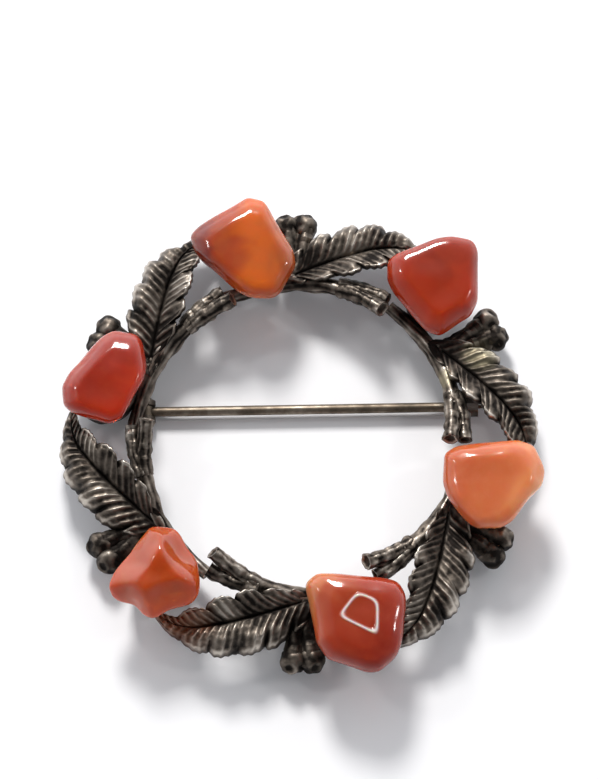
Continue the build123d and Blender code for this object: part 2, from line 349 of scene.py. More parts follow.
def smooth_curve(rows, column):
    """Function that gives a table's column at a place along its first column, on a smooth curve."""
    places = [row[0] for row in rows]
    values = [row[column] for row in rows]
    slopes = np.gradient(values, places)
    last = len(places) - 2

    def value(at):
        index = min(max(int(np.searchsorted(places, at, side="right")) - 1, 0), last)
        span = places[index + 1] - places[index]
        share = (at - places[index]) / span
        start = values[index] * (1 + 2 * share) * (1 - share) ** 2
        end = values[index + 1] * share**2 * (3 - 2 * share)
        bend = span * share * (1 - share)
        bend *= slopes[index] * (1 - share) - slopes[index + 1] * share
        return float(start + end + bend)

    return value


def rise_between(low, high, at):
    """Smooth step from 0 at low to 1 at high."""
    share = min(max((at - low) / (high - low), 0.0), 1.0)
    return share * share * (3 - 2 * share)


def extruded(bm, faces):
    """Extrudes faces and gives the corners and the faces of the new end."""
    grown = bmesh.ops.extrude_face_region(bm, geom=faces)["geom"]
    corners = [item for item in grown if isinstance(item, bmesh.types.BMVert)]
    return corners, [item for item in grown if isinstance(item, bmesh.types.BMFace)]


def turn_to_unit(bm, number):
    """Turns a mesh of the first unit to the place of another unit on the ring."""
    turn = Matrix.Rotation(math.radians(-SECTOR_ANGLE * number), 4, "Z")
    bmesh.ops.transform(bm, matrix=turn, verts=bm.verts)


def finished_piece(name, bm, material, body="brooch", node="wreath", crease=60):
    """Turns a mesh in millimetres into a piece that rides on a body and stands for a CAD node."""
    bmesh.ops.remove_doubles(bm, verts=bm.verts, dist=MERGE_GAP)
    bmesh.ops.recalc_face_normals(bm, faces=bm.faces)
    bmesh.ops.scale(bm, vec=(MM, MM, MM), verts=bm.verts)
    mesh = bpy.data.meshes.new(name)
    bm.to_mesh(mesh)
    bm.free()
    for polygon in mesh.polygons:
        polygon.use_smooth = True
    mesh.set_sharp_from_angle(angle=math.radians(crease))
    mesh.materials.append(material)
    piece = bpy.data.objects.new(name, mesh)
    bpy.context.scene.collection.objects.link(piece)
    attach(piece, body)
    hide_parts(node)
    return piece


# Materials

# Finish of the metals: noise of the patina and of the grit, what they add to the wear, the places
# of the three colours on the wear, the roughness from dull to burnished, and the share of a
# stain's reach that has its full strength
PATINA_SCALE = 420.0
PATINA_RANGE = (0.25, 0.75)
PATINA_SHIFT = (-0.30, 0.26)
GRIT_SCALE = 2600.0
GRIT_SHARE = 0.22
GRIT_STRENGTH = 0.35
GRIT_HEIGHT = 0.06
METAL_PLACES = (0.12, 0.50, 0.95)
METAL_ROUGHNESS = (0.62, 0.30)
METALLIC_SHARE = 0.92
STAIN_CORE = 0.35

# Finish of the stones: drift of the colour, haze, the polish, and the body of the stone
DRIFT_SCALE = 170.0
DRIFT_SHARE = 0.7
DRIFT_STRENGTH = 0.10
DRIFT_HEIGHT = 0.15
HAZE_SCALE = 420.0
HAZE_RANGE = (0.45, 0.80)
HAZE_SHARE = 0.40
STONE_ROUGHNESS = (0.07, 0.17)
STONE_BODY = {
    "IOR": 1.54,
    "Subsurface Weight": 0.75,
    "Subsurface Radius": (1.0, 0.30, 0.10),
    "Subsurface Scale": 0.0034,
    "Transmission Weight": 0.38,
    "Coat Weight": 0.12,
    "Coat Roughness": 0.06,
}

# Edge of a chip on a stone: breadth, height and rounding of its corners in millimetres, and the
# pale colour of the painted highlight laid along the edge
CHIP_EDGE = 0.26
CHIP_HEIGHT = 0.16
CHIP_ROUNDING = 1.2
CHIP_PAINTED_HIGHLIGHT = (0.96, 0.90, 0.86)

# Paper of the floor: scale of its fibres, places and colours on their noise, and roughness
PAPER_SCALE = 30.0
PAPER_COLOURS = ((0.3, (0.86, 0.86, 0.88)), (0.7, (0.90, 0.90, 0.915)))
PAPER_ROUGHNESS = 0.8


def add_node(material, kind, **settings):
    """Shader node with its settings and unlinked inputs."""
    node = material.node_tree.nodes.new(kind)
    for key, value in settings.items():
        if hasattr(node, key):
            setattr(node, key, value)
        else:
            node.inputs[key].default_value = value
    return node


def join(material, source, target):
    """Link between two sockets of a material."""
    material.node_tree.links.new(source, target)


def fill_inputs(material, node, values):
    """Gives a node's first inputs their values, each a socket or a fixed value."""
    for place, value in enumerate(values):
        if isinstance(value, bpy.types.NodeSocket):
            join(material, value, node.inputs[place])
        else:
            node.inputs[place].default_value = value


def calculate(material, operation, *values, use_clamp=False):
    """Number worked out from numbers."""
    node = add_node(material, "ShaderNodeMath", operation=operation, use_clamp=use_clamp)
    fill_inputs(material, node, values)
    return node.outputs["Value"]


def measure(material, operation, *values):
    """Number worked out from points, such as a distance."""
    node = add_node(material, "ShaderNodeVectorMath", operation=operation)
    fill_inputs(material, node, values)
    return node.outputs["Value"]


def seen_from(material, point, origin):
    """Point taken from an origin of its own."""
    node = add_node(material, "ShaderNodeVectorMath", operation="SUBTRACT")
    fill_inputs(material, node, (point, origin))
    return node.outputs["Vector"]


def remap(material, value, reach, result=(0.0, 1.0), **settings):
    """Number taken from one range to another."""
    node = add_node(material, "ShaderNodeMapRange", **settings)
    node.inputs["From Min"].default_value, node.inputs["From Max"].default_value = reach
    node.inputs["To Min"].default_value, node.inputs["To Max"].default_value = result
    join(material, value, node.inputs["Value"])
    return node.outputs["Result"]


def cloud_noise(material, place, **settings):
    """Strength of a cloudy noise at a place."""
    node = add_node(material, "ShaderNodeTexNoise", **settings)
    join(material, place, node.inputs["Vector"])
    return node.outputs["Fac"]


def blend(material, amount, colour, tint):
    """Colour mixed by an amount with a plain tint."""
    node = add_node(material, "ShaderNodeMix", data_type="RGBA", blend_type="MIX")
    join(material, amount, node.inputs["Factor"])
    join(material, colour, node.inputs["A"])
    node.inputs["B"].default_value = (*tint, 1.0)
    return node.outputs["Result"]


def colour_along(material, value, stops, interpolation="LINEAR"):
    """Colour that a value picks from rows of place and colour."""
    node = add_node(material, "ShaderNodeValToRGB")
    band = node.color_ramp
    band.interpolation = interpolation
    while len(band.elements) < len(stops):
        band.elements.new(1.0)
    for element, (place, colour) in zip(band.elements, stops):
        element.position = place
        element.color = (*colour, 1.0)
    join(material, value, node.inputs["Fac"])
    return node.outputs["Color"]


def raised_by(material, height, strength, distance, below=None):
    """Normal of a surface that a height raises."""
    node = add_node(material, "ShaderNodeBump", Strength=strength, Distance=distance)
    join(material, height, node.inputs["Height"])
    if below:
        join(material, below, node.inputs["Normal"])
    return node.outputs["Normal"]


def new_material(name):
    """Empty material, its main shader, and the place on the piece in metres."""
    material = bpy.data.materials.new(name)
    material.use_nodes = True
    place = add_node(material, "ShaderNodeTexCoord").outputs["Object"]
    return material, material.node_tree.nodes["Principled BSDF"], place


def antiqued_metal(name, recess, middle, worn, stains=()):
    """Blackened cast metal, burnished where the wear attribute is high."""
    material, shader, place = new_material(name)
    wear = add_node(material, "ShaderNodeAttribute", attribute_name="wear").outputs["Fac"]
    patina = cloud_noise(material, place, Scale=PATINA_SCALE, Detail=4.0, Roughness=0.6)
    grit = cloud_noise(material, place, Scale=GRIT_SCALE, Detail=3.0, Roughness=0.6)
    rubbed = calculate(material, "ADD", wear, remap(material, patina, PATINA_RANGE, PATINA_SHIFT))
    speckle = calculate(material, "MULTIPLY_ADD", grit, GRIT_SHARE, rubbed, use_clamp=True)
    stops = tuple(zip(METAL_PLACES, (recess, middle, worn)))
    colour = colour_along(material, speckle, stops)
    for spot, reach, tint in stains:
        distance = measure(material, "DISTANCE", place, Vector(spot) * MM)
        fade = (reach * MM, STAIN_CORE * reach * MM)
        strength = remap(material, distance, fade, interpolation_type="SMOOTHSTEP")
        blotch = calculate(material, "MULTIPLY", strength, patina)
        colour = blend(material, blotch, colour, tint)
    join(material, colour, shader.inputs["Base Color"])
    polish = remap(material, speckle, (0.0, 1.0), METAL_ROUGHNESS)
    join(material, polish, shader.inputs["Roughness"])
    rough_skin = raised_by(material, grit, GRIT_STRENGTH, GRIT_HEIGHT * MM)
    join(material, rough_skin, shader.inputs["Normal"])
    shader.inputs["Metallic"].default_value = METALLIC_SHARE
    return material


def chip_edge(material, local, chip):
    """Strength of the crisp edge round a shallow flat that was ground on a stone; it raises a bump and masks
    a painted highlight.
    """
    across, up, reach, headings = chip
    centred = seen_from(material, local, Vector((across, up, 0)) * MM)
    furthest = None
    for heading in headings:
        side = measure(material, "DOT_PRODUCT", centred, polar_point(heading, 1.0, 0.0))
        if furthest:
            side = calculate(material, "SMOOTH_MAX", furthest, side, CHIP_ROUNDING * MM)
        furthest = side
    away = calculate(material, "ABSOLUTE", calculate(material, "SUBTRACT", furthest, reach * MM))
    return remap(material, away, (CHIP_EDGE * MM, 0.0), interpolation_type="SMOOTHSTEP")


def chalcedony(name, centre, heading, stops, cloud, chip=None):
    """Cloudy translucent stone whose colour changes along a heading and in soft clouds, with a painted
    highlight along the edge of a chip where one is given.
    """
    material, shader, place = new_material(name)
    local = seen_from(material, place, Vector(centre) * MM)
    along = measure(material, "DOT_PRODUCT", local, Vector(heading).normalized())
    share = remap(material, along, (-STONE_REACH * MM, STONE_REACH * MM), clamp=False)
    drift = cloud_noise(material, place, Scale=DRIFT_SCALE, Detail=3.0, Distortion=0.8)
    lowered = calculate(material, "SUBTRACT", share, DRIFT_SHARE / 2)
    shift = calculate(material, "MULTIPLY_ADD", drift, DRIFT_SHARE, lowered, use_clamp=True)
    colour = colour_along(material, shift, stops, "EASE")
    haze = cloud_noise(material, place, Scale=HAZE_SCALE, Detail=5.0, Roughness=0.65)
    amount = remap(material, haze, HAZE_RANGE, (0.0, HAZE_SHARE))
    colour = blend(material, amount, colour, cloud)
    skin = raised_by(material, drift, DRIFT_STRENGTH, DRIFT_HEIGHT * MM)
    if chip:
        edge = chip_edge(material, local, chip)
        # Painted highlight: the chip's edge is lightened towards a pale colour, standing in for a lamp's
        # reflection
        colour = blend(material, calculate(material, "MULTIPLY", edge, edge), colour, CHIP_PAINTED_HIGHLIGHT)
        skin = raised_by(material, edge, 1.0, CHIP_HEIGHT * MM, skin)
    join(material, colour, shader.inputs["Base Color"])
    polish = remap(material, haze, (0.0, 1.0), STONE_ROUGHNESS)
    join(material, polish, shader.inputs["Roughness"])
    join(material, skin, shader.inputs["Normal"])
    for key, value in STONE_BODY.items():
        shader.inputs[key].default_value = value
    return material


def floor_material():
    """Plain pale paper with the faintest unevenness."""
    material, shader, place = new_material("pale_paper")
    fibres = cloud_noise(material, place, Scale=PAPER_SCALE, Detail=4.0)
    join(material, colour_along(material, fibres, PAPER_COLOURS), shader.inputs["Base Color"])
    shader.inputs["Roughness"].default_value = PAPER_ROUGHNESS
    return material


# Leaves

leaf_bow = smooth_curve(LEAF_STATIONS, 1)
leaf_outer_breadth = smooth_curve(LEAF_STATIONS, 2)
leaf_inner_breadth = smooth_curve(LEAF_STATIONS, 3)
leaf_lift = smooth_curve(LEAF_STATIONS, 4)
leaf_fold = smooth_curve(LEAF_STATIONS, 5)
leaf_curl = smooth_curve(LEAF_STATIONS, 6)
rib_inner = smooth_curve(LEAF_RIBS, 1)
rib_outer = smooth_curve(LEAF_RIBS, 2)
rib_curl = smooth_curve(LEAF_RIBS, 3)


def lobe_share(along):
    """Breadth left at a place along the leaf, from 0 in a notch to 1 on a lobe that leans forward."""
    place = (along * LOBE_COUNT) % 1.0
    return math.sin(math.pi * place**LOBE_LEAN) ** LOBE_ROUNDNESS


def leaf_noise(waves, along, across, seed):
    """Noise at a place on one leaf."""
    along_waves, across_waves, leaf_step, start = waves
    return noise.noise(Vector((along_waves * along, across_waves * across, leaf_step * seed + start)))


def leaf_unevenness(waves, point, seed):
    """Noise at a point of one leaf, even in all directions."""
    scale, leaf_step, start = waves
    return noise.noise(Vector((point.x * scale + leaf_step * seed, point.y * scale, start)))


def stretch_between(field, at, drop=1.0):
    """Share that rises over a field's first stretch and drops again over its second."""
    rise, fall = field
    return rise_between(*rise, at) * (1 - drop * rise_between(*fall, at))


def leaf_point(along, across, seed):
    """Top point of the first leaf and its wear; across runs from -1, the inner edge, to +1."""
    base = polar_point(LEAF_BASE[0] * SECTOR_ANGLE, LEAF_BASE[1] * RING_RADIUS, 0)
    tip = polar_point(LEAF_TIP[0] * SECTOR_ANGLE, LEAF_TIP[1] * RING_RADIUS, 0)
    side = 1 if across > 0 else -1
    share = abs(across)
    length = (tip - base).length
    forward = (tip - base).normalized()
    outward = Vector((-forward.y, forward.x, 0))
    edge_along = along ** (OUTER_SWEEP if side > 0 else INNER_SWEEP)
    full = LEAF_WIDTH * (leaf_outer_breadth(edge_along) if side > 0 else leaf_inner_breadth(edge_along))
    ragged = leaf_noise(RAGGED_NOISE, edge_along, side, seed)
    lobe = lobe_share(min(max(edge_along + RAGGED_SHIFT * ragged, 0.0), 1.0))
    fade = min(1.0, LOBE_FADE * full / LEAF_WIDTH)
    full *= BREADTH_TRIM + BREADTH_VARIATION * leaf_noise(BREADTH_NOISE, edge_along, side, seed)
    tooth = 0.5 - 0.5 * math.cos(2 * math.pi * VEIN_COUNT * along)
    breadth = full - (LOBE_DEPTH * (1 - lobe) + TOOTH_DEPTH * tooth) * fade
    middle = base + forward * (length * along) + outward * (length * leaf_bow(along))
    edge = base + forward * (length * edge_along)
    edge += outward * (length * leaf_bow(edge_along) + side * breadth)
    point = middle + (edge - middle) * share
    here = along + (edge_along - along) * share
    if side > 0:
        rise = OUTER_RISE * rib_outer(share)
        curl = OUTER_CURL * rib_curl(share)
    else:
        rise = INNER_RISE * rib_inner(share)
        curl = INNER_CURL * rib_curl(share)
    height = LEAF_LEVEL + LEAF_ARCH * leaf_lift(here) + rise * leaf_fold(here) - curl * leaf_curl(here)

    # Veins, rim, lobes, creases and dents over the plain surface
    taper = stretch_between(LEAF_ENDS, along)
    waver = VEIN_WAVER * leaf_noise(WAVER_NOISE, along, across, seed)
    ridge = 0.5 + 0.5 * math.cos(2 * math.pi * (VEIN_COUNT * along + waver))
    ridge = ridge**VEIN_SHARPNESS
    strength = VEIN_EVEN + VEIN_UNEVEN * leaf_noise(STRENGTH_NOISE, along, across, seed)
    ridge *= min(max(strength, VEIN_FAINTEST), 1.0)
    vein_field = stretch_between(VEIN_FIELD, share) * taper
    rim = stretch_between(RIM_FIELD, share, RIM_DROP) * taper
    edge_rise, notch_fall = CREASE_FIELD
    crease = (1 - rise_between(*notch_fall, lobe)) * rise_between(*edge_rise, share) * fade
    swell = lobe * rise_between(*SWELL_RISE, share) * fade * taper
    groove = 1 - rise_between(*GROOVE_FIELD, share)
    height += VEIN_HEIGHT * (ridge - 0.5) * vein_field
    height += RIM_HEIGHT * rim * (RIM_IN_NOTCH + (1 - RIM_IN_NOTCH) * lobe)
    height += LOBE_SWELL * (swell - 0.5) * fade * rise_between(*SWELL_REACH, share)
    height -= NOTCH_CREASE * crease + MIDRIB_GROOVE * groove * taper
    uneven = leaf_unevenness(UNEVEN_NOISE, point, seed)
    dents = leaf_unevenness(DENT_NOISE, point, seed)
    height += (UNEVEN_HEIGHT * uneven + DENT_HEIGHT * dents) * rise_between(*UNEVEN_RISE, share)
    wear = WEAR_EVEN + WEAR_VEIN * ridge * vein_field + WEAR_RIM * rim * lobe
    wear += WEAR_GROOVE * groove + WEAR_CREASE * crease + WEAR_SWELL * swell
    wear += WEAR_UNEVEN * uneven + WEAR_DENT * dents
    wear += WEAR_FOOT * (1 - rise_between(*FOOT_STRETCH, along))
    return Vector((point.x, point.y, height)), wear


def grown_leaf(number, material):
    """One veined leaf: a grid laid on the leaf's surface and thickened downwards."""
    bm = bmesh.new()
    bmesh.ops.create_grid(bm, x_segments=LEAF_STEPS, y_segments=LEAF_RIB_STEPS, size=0.5)
    wear_layer = bm.verts.layers.float.new("wear")
    for vert in bm.verts:
        along = min(max(vert.co.x + 0.5, 0.0), 1.0)
        across = 2 * vert.co.y
        vert.co, vert[wear_layer] = leaf_point(along, across, number)
    under = extruded(bm, bm.faces[:])[0]
    for vert in under:
        vert.co.z -= LEAF_THICKNESS
        vert[wear_layer] = UNDERSIDE_WEAR
    bmesh.ops.smooth_vert(bm, verts=under, factor=UNDERSIDE_SMOOTHING, use_axis_z=True)
    turn_to_unit(bm, number)
    return finished_piece(f"leaf_{number + 1}", bm, material, crease=75)


# Branches, twigs and berry stems

def section_frame(ahead, behind, centre):
    """Matrix that sets a flat section at a centre, square to the line between two points."""
    return Matrix.Translation(centre) @ (ahead - behind).to_track_quat("Z", "Y").to_matrix().to_4x4()


def grow_limb(bm, centres, radii, surface, cut_rim=0.0):
    """Round limb through centres; surface gives a share of the radius and the wear around it."""
    wear_layer = bm.verts.layers.float.get("wear") or bm.verts.layers.float.new("wear")
    frames = []
    for index, centre in enumerate(centres):
        ahead = centres[min(index + 1, len(centres) - 1)]
        behind = centres[max(index - 1, 0)]
        frames.append(section_frame(ahead, behind, centre))
    first = bmesh.ops.create_circle(bm, segments=LIMB_SIDES, radius=1.0, cap_ends=True)
    ring = first["verts"]
    cap = ring[0].link_faces[0]
    turns = {vert: math.atan2(vert.co.y, vert.co.x) for vert in ring}

    def set_ring(verts, index):
        for vert in verts:
            turn = turns[vert]
            share, wear = surface(turn, index / (len(centres) - 1))
            reach = radii[index] * share
            vert.co = frames[index] @ Vector((reach * math.cos(turn), reach * math.sin(turn), 0))
            vert[wear_layer] = wear

    set_ring(ring, 0)
    for index in range(1, len(centres)):
        before = list(cap.verts)
        ring, caps = extruded(bm, [cap])
        cap = caps[0]
        for vert in ring:
            nearest = min(before, key=lambda old: (old.co - vert.co).length_squared)
            turns[vert] = turns[nearest]
        set_ring(ring, index)
    if cut_rim:
        direction = (centres[-1] - centres[-2]).normalized()
        bmesh.ops.inset_region(bm, faces=[cap], thickness=cut_rim)
        for vert in cap.verts:
            vert[wear_layer] = CUT_RIM_WEAR
        bmesh.ops.inset_region(bm, faces=[cap], thickness=cut_rim)
        bmesh.ops.translate(bm, vec=-direction * cut_rim, verts=cap.verts)
        for vert in cap.verts:
            vert[wear_layer] = CUT_HEART_WEAR


def limb_noise(waves, turn, along, seed):
    """Noise at a place on one limb."""
    around_waves, along_waves, limb_step = waves
    around = Vector((math.cos(turn), math.sin(turn), 0)) * around_waves
    return noise.noise(around + Vector((0, 0, along_waves * along + limb_step * seed)))


def bark(seed, worn_share=1.0):
    """Surface of a limb with uneven grooves that run along it."""
    even, ridged, lumpy, knotty = BARK_WEAR

    def surface(turn, along):
        wander = limb_noise(WANDER_NOISE, turn, along, seed)
        ridge = 0.5 + 0.5 * math.cos(BARK_GROOVES * turn + BARK_WANDER * wander + BARK_TWIST * along)
        ridge = ridge**BARK_SHARPNESS
        lump = limb_noise(LUMP_NOISE, turn, along, seed)
        knot = limb_noise(KNOT_NOISE, turn, along, seed)
        share = BARK_TRIM - BARK_DEPTH * (1 - ridge) + BARK_LUMP * lump + BARK_KNOT * knot
        return share, worn_share * (even + ridged * ridge + lumpy * lump + knotty * knot)

    return surface


def route_points(route, steps):
    """Centres and radius shares along a smooth curve through a route's rows."""
    radius_at = smooth_curve(route, 1)
    height_at = smooth_curve(route, 2)
    breadth_at = smooth_curve(route, 3)
    centres = []
    shares = []
    for step in range(steps + 1):
        angle_share = route[0][0] + (route[-1][0] - route[0][0]) * step / steps
        radius = RING_RADIUS * radius_at(angle_share)
        height = BRANCH_LEVEL * height_at(angle_share)
        centres.append(polar_point(angle_share * SECTOR_ANGLE, radius, height))
        shares.append(breadth_at(angle_share))
    return centres, shares


# Limbs of one unit: route, diameter, steps along it, breadth of the rim left round the cut end
LIMBS = (
    (BRANCH_ROUTE, BRANCH_DIAMETER, 44, 0.0),
    (INNER_TWIG_ROUTE, TWIG_DIAMETER, 26, CUT_RIM),
    (OUTER_TWIG_ROUTE, TWIG_DIAMETER, 24, CUT_RIM),
)


def grown_branch(number, material):
    """Branch of one unit with its two cut ends."""
    bm = bmesh.new()
    for place, (route, diameter, steps, rim) in enumerate(LIMBS):
        centres, shares = route_points(route, steps)
        radii = [diameter / 2 * share for share in shares]
        grow_limb(bm, centres, radii, bark(number + TWIG_SEED * place), cut_rim=rim)
    turn_to_unit(bm, number)
    return finished_piece(f"branch_{number + 1}", bm, material, crease=50)


def grown_berries(number, material):
    """Pair of berries of one unit on their forked stem."""
    bm = bmesh.new()
    reach = RING_RADIUS + BERRY_REACH
    foot = RING_RADIUS * STEM_FOOT
    for side in (-1, 1):
        centres = []
        radii = []
        for step in range(STEM_STEPS + 1):
            share = step / STEM_STEPS
            spread = STEM_SPREAD + (BERRY_SPACING / 2 - STEM_SPREAD) * share**2
            level = BRANCH_LEVEL + (BERRY_HEIGHT - BRANCH_LEVEL) * share
            centres.append(Vector((side * spread, foot + (reach - foot) * share, level)))
            radii.append(STEM_DIAMETER / 2 * (STEM_FULL - STEM_WAIST * share * (1 - share)))
        grow_limb(bm, centres, radii, bark(number + STEM_SEED * side, STEM_WORN))
    wear_layer = bm.verts.layers.float.get("wear")
    even, upper, ringed, pitted, lumpy = BERRY_WEAR
    pit_across, pit_out, pit_up = PIT_HEADING
    for side in (-1, 1):
        centre = Vector((side * BERRY_SPACING / 2, reach, BERRY_HEIGHT))
        ball = bmesh.ops.create_icosphere(bm, subdivisions=BERRY_FINENESS, radius=BERRY_RADIUS)
        pit = Vector((side * pit_across, pit_out, pit_up)).normalized()
        for vert in ball["verts"]:
            out = vert.co.normalized()
            lump = noise.noise(out * BERRY_LUMP_WAVES + Vector((side, number, 0)) * BERRY_LUMP_STEP)
            hollow = rise_between(*PIT_STRETCH, out.dot(pit))
            ring = rise_between(*RING_STRETCH, out.dot(pit)) - hollow
            reach_share = BERRY_TRIM + BERRY_LUMP * lump - BERRY_PIT * hollow + BERRY_RING * ring
            vert.co = centre + out * (BERRY_RADIUS * reach_share)
            wear = even + upper * max(out.z, 0) + ringed * ring + pitted * hollow + lumpy * lump
            vert[wear_layer] = wear
    turn_to_unit(bm, number)
    return finished_piece(f"berries_{number + 1}", bm, material, crease=60)


def stone_pad(number, material):
    """Low round pad that carries one stone, with an uneven rounded edge."""
    bm = bmesh.new()
    wear_layer = bm.verts.layers.float.new("wear")
    seat = polar_point(STONE_ANGLE + number * SECTOR_ANGLE, RING_RADIUS, PAD_TOP - PAD_THICKNESS / 2)
    bmesh.ops.create_cone(
        bm, segments=PAD_SIDES, radius1=PAD_RADIUS, radius2=PAD_RADIUS, depth=PAD_THICKNESS, cap_ends=True,
        matrix=Matrix.Translation(seat),
    )
    rims = [edge for edge in bm.edges if abs(edge.verts[0].co.z - edge.verts[1].co.z) < PAD_LEVEL_GAP]
    bmesh.ops.bevel(
        bm, geom=rims, offset=PAD_ROUNDING, segments=4, profile=0.5, affect="EDGES", material=-1,
    )
    for vert in bm.verts:
        lump = noise.noise(vert.co * PAD_LUMP_WAVES + Vector((0, 0, number)))
        away = Vector((vert.co.x - seat.x, vert.co.y - seat.y, 0))
        vert.co -= away * (PAD_TRIM + PAD_LUMP * lump)
        vert[wear_layer] = PAD_WEAR + PAD_LUMP_WEAR * lump
    return finished_piece(f"stone_pad_{number + 1}", bm, material, crease=40)


# Hinge, catch and pin

def hinge_ears(material):
    """Two ears of the hinge, each a round eye under a short post."""
    bm = bmesh.new()
    wear_layer = bm.verts.layers.float.new("wear")
    for side in (-1, 1):
        middle = PIN_LINE + side * (EAR_OFFSET + EAR_THICKNESS / 2)
        across = Matrix.Rotation(math.radians(90), 4, "X")
        eye = bmesh.ops.create_cone(
            bm, segments=ROUND_SIDES, radius1=HINGE_LEVEL, radius2=HINGE_LEVEL, depth=EAR_THICKNESS,
            cap_ends=True, matrix=Matrix.Translation((-HINGE_REACH, middle, HINGE_LEVEL)) @ across,
        )
        caps = {face for vert in eye["verts"] for face in vert.link_faces if len(face.verts) > 4}
        rims = {edge for face in caps for edge in face.edges}
        bmesh.ops.bevel(
            bm, geom=list(rims), offset=EAR_ROUNDING, segments=2, profile=0.5, affect="EDGES", material=-1,
        )
        height = EAR_TOP - HINGE_LEVEL
        post = Matrix.Translation((-HINGE_REACH - HINGE_LEVEL / 2, middle, HINGE_LEVEL + height / 2))
        size = Matrix.Diagonal((HINGE_LEVEL, EAR_THICKNESS * EAR_POST_TRIM, height, 1))
        bmesh.ops.create_cube(bm, size=1.0, matrix=post @ size)
    for vert in bm.verts:
        vert[wear_layer] = FITTING_WEAR
    return finished_piece("hinge_ears", bm, material, crease=35)


def plain_catch(material):
    """Short tube on a post, with a mouth on its lower side."""
    bm = bmesh.new()
    wear_layer = bm.verts.layers.float.new("wear")
    half_mouth = math.asin(MOUTH_WIDTH / 2 / CATCH_BORE)
    section = bmesh.ops.create_grid(bm, x_segments=1, y_segments=1, size=0.5)
    bmesh.ops.scale(bm, vec=(CATCH_LENGTH, CATCH_WALL, 1), verts=section["verts"])
    bmesh.ops.translate(bm, vec=(0, CATCH_BORE + CATCH_WALL / 2, 0), verts=section["verts"])
    down = Matrix.Rotation(-math.pi / 2 + half_mouth, 4, "X")
    bmesh.ops.rotate(bm, matrix=down.to_3x3(), verts=section["verts"])
    bmesh.ops.spin(
        bm, geom=bm.verts[:] + bm.edges[:] + bm.faces[:], cent=(0, 0, 0), axis=(1, 0, 0),
        angle=2 * math.pi - 2 * half_mouth, steps=CATCH_STEPS, use_merge=False,
    )
    bmesh.ops.holes_fill(bm, edges=bm.edges[:])
    bmesh.ops.translate(bm, vec=(CATCH_REACH, PIN_LINE, HINGE_LEVEL), verts=bm.verts)
    low = HINGE_LEVEL + CATCH_BORE + CATCH_WALL / 2
    post = Matrix.Translation((CATCH_REACH, PIN_LINE, (low + CATCH_TOP) / 2))
    size = Matrix.Diagonal((CATCH_LENGTH * CATCH_POST_TRIM, 2 * CATCH_BORE, CATCH_TOP - low, 1))
    bmesh.ops.create_cube(bm, size=1.0, matrix=post @ size)
    for vert in bm.verts:
        vert[wear_layer] = FITTING_WEAR
    return finished_piece("plain_catch", bm, material, crease=35)


def drawn_wire(turn, along):
    """Surface of the pin's wire: round, with faint drawing marks in its wear."""
    around_waves, along_waves = WIRE_WAVES
    even, marked = WIRE_WEAR
    place = Vector((around_waves * math.cos(turn), around_waves * math.sin(turn), along_waves * along))
    return 1.0, even + marked * noise.noise(place)


def pin_wire(material):
    """Pin with its tapered point and the eye that turns on the rivet."""
    bm = bmesh.new()
    wear_layer = bm.verts.layers.float.new("wear")
    start = -HINGE_REACH + EYE_BORE + EYE_GAP
    centres = []
    radii = []
    for step in range(PIN_STEPS + 1):
        reach = start + (PIN_END - start) * step / PIN_STEPS
        centres.append(Vector((reach, PIN_LINE, HINGE_LEVEL)))
        taper = max(0.0, (reach - (PIN_END - PIN_TAPER)) / PIN_TAPER)
        radii.append(PIN_RADIUS + (PIN_TIP_RADIUS - PIN_RADIUS) * taper)
    grow_limb(bm, centres, radii, drawn_wire)
    wire = set(bm.verts)
    wall = bmesh.ops.create_grid(bm, x_segments=1, y_segments=1, size=0.5)
    lift = (EYE_RADIUS + EYE_BORE) / 2
    bmesh.ops.rotate(bm, matrix=Matrix.Rotation(math.radians(90), 3, "Z"), verts=wall["verts"])
    bmesh.ops.scale(bm, vec=(EYE_RADIUS - EYE_BORE, EYE_WIDTH, 1), verts=wall["verts"])
    bmesh.ops.translate(bm, vec=(lift, 0, 0), verts=wall["verts"])
    faces = {face for vert in wall["verts"] for face in vert.link_faces}
    edges = {edge for face in faces for edge in face.edges}
    bmesh.ops.spin(
        bm, geom=wall["verts"] + list(edges) + list(faces), cent=(0, 0, 0), axis=(0, 1, 0),
        angle=2 * math.pi, steps=ROUND_SIDES, use_merge=True,
    )
    eye = [vert for vert in bm.verts if vert not in wire]
    bmesh.ops.translate(bm, vec=(-HINGE_REACH, PIN_LINE, HINGE_LEVEL), verts=eye)
    for vert in eye:
        vert[wear_layer] = EYE_WEAR
    return finished_piece("pin_wire", bm, material, body="pin", node="pin_stem", crease=40)


# Stones

def rounded_outline(corners):
    """Outline with each corner cut off across its two sides."""
    cut = []
    for corner, after in zip(corners, corners[1:] + corners[:1]):
        cut.append(corner * (1 - CORNER_CUT) + after * CORNER_CUT)
        cut.append(corner * CORNER_CUT + after * (1 - CORNER_CUT))
    return cut


def stone_centre(number):
    """Middle of a stone's girdle."""
    height = STONE_SEAT + GIRDLE_SHARE * STONE_HEIGHT
    return polar_point(STONE_ANGLE + number * SECTOR_ANGLE, RING_RADIUS, height)


